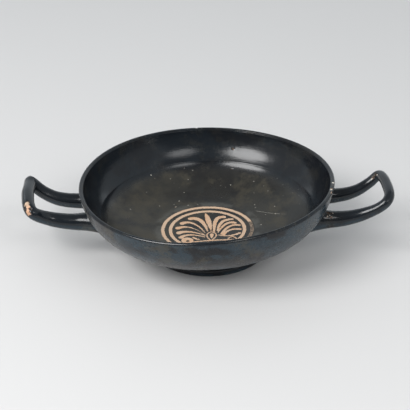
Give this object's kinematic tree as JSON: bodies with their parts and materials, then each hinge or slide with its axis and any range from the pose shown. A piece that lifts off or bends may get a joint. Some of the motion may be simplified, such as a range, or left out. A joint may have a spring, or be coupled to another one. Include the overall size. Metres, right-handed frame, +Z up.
{
  "type": "stemless kylix drinking cup",
  "caption": "Shallow stemless drinking cup on a low ring foot, with two upswung loop handles and a painted floor medallion.",
  "frame": {"origin": "centre of the foot's resting ring, on the table", "axes": "+Z up, X through the two handles, the handle that stands higher at +X, -Y towards the viewer of the picture"},
  "size_m": [0.2274, 0.1544, 0.0493],
  "materials": {
    "black_gloss": "black slip gloss on fired red clay"
  },
  "bodies": {
    "root": {"kylix_cup": "black_gloss"}
  },
  "joints": []
}
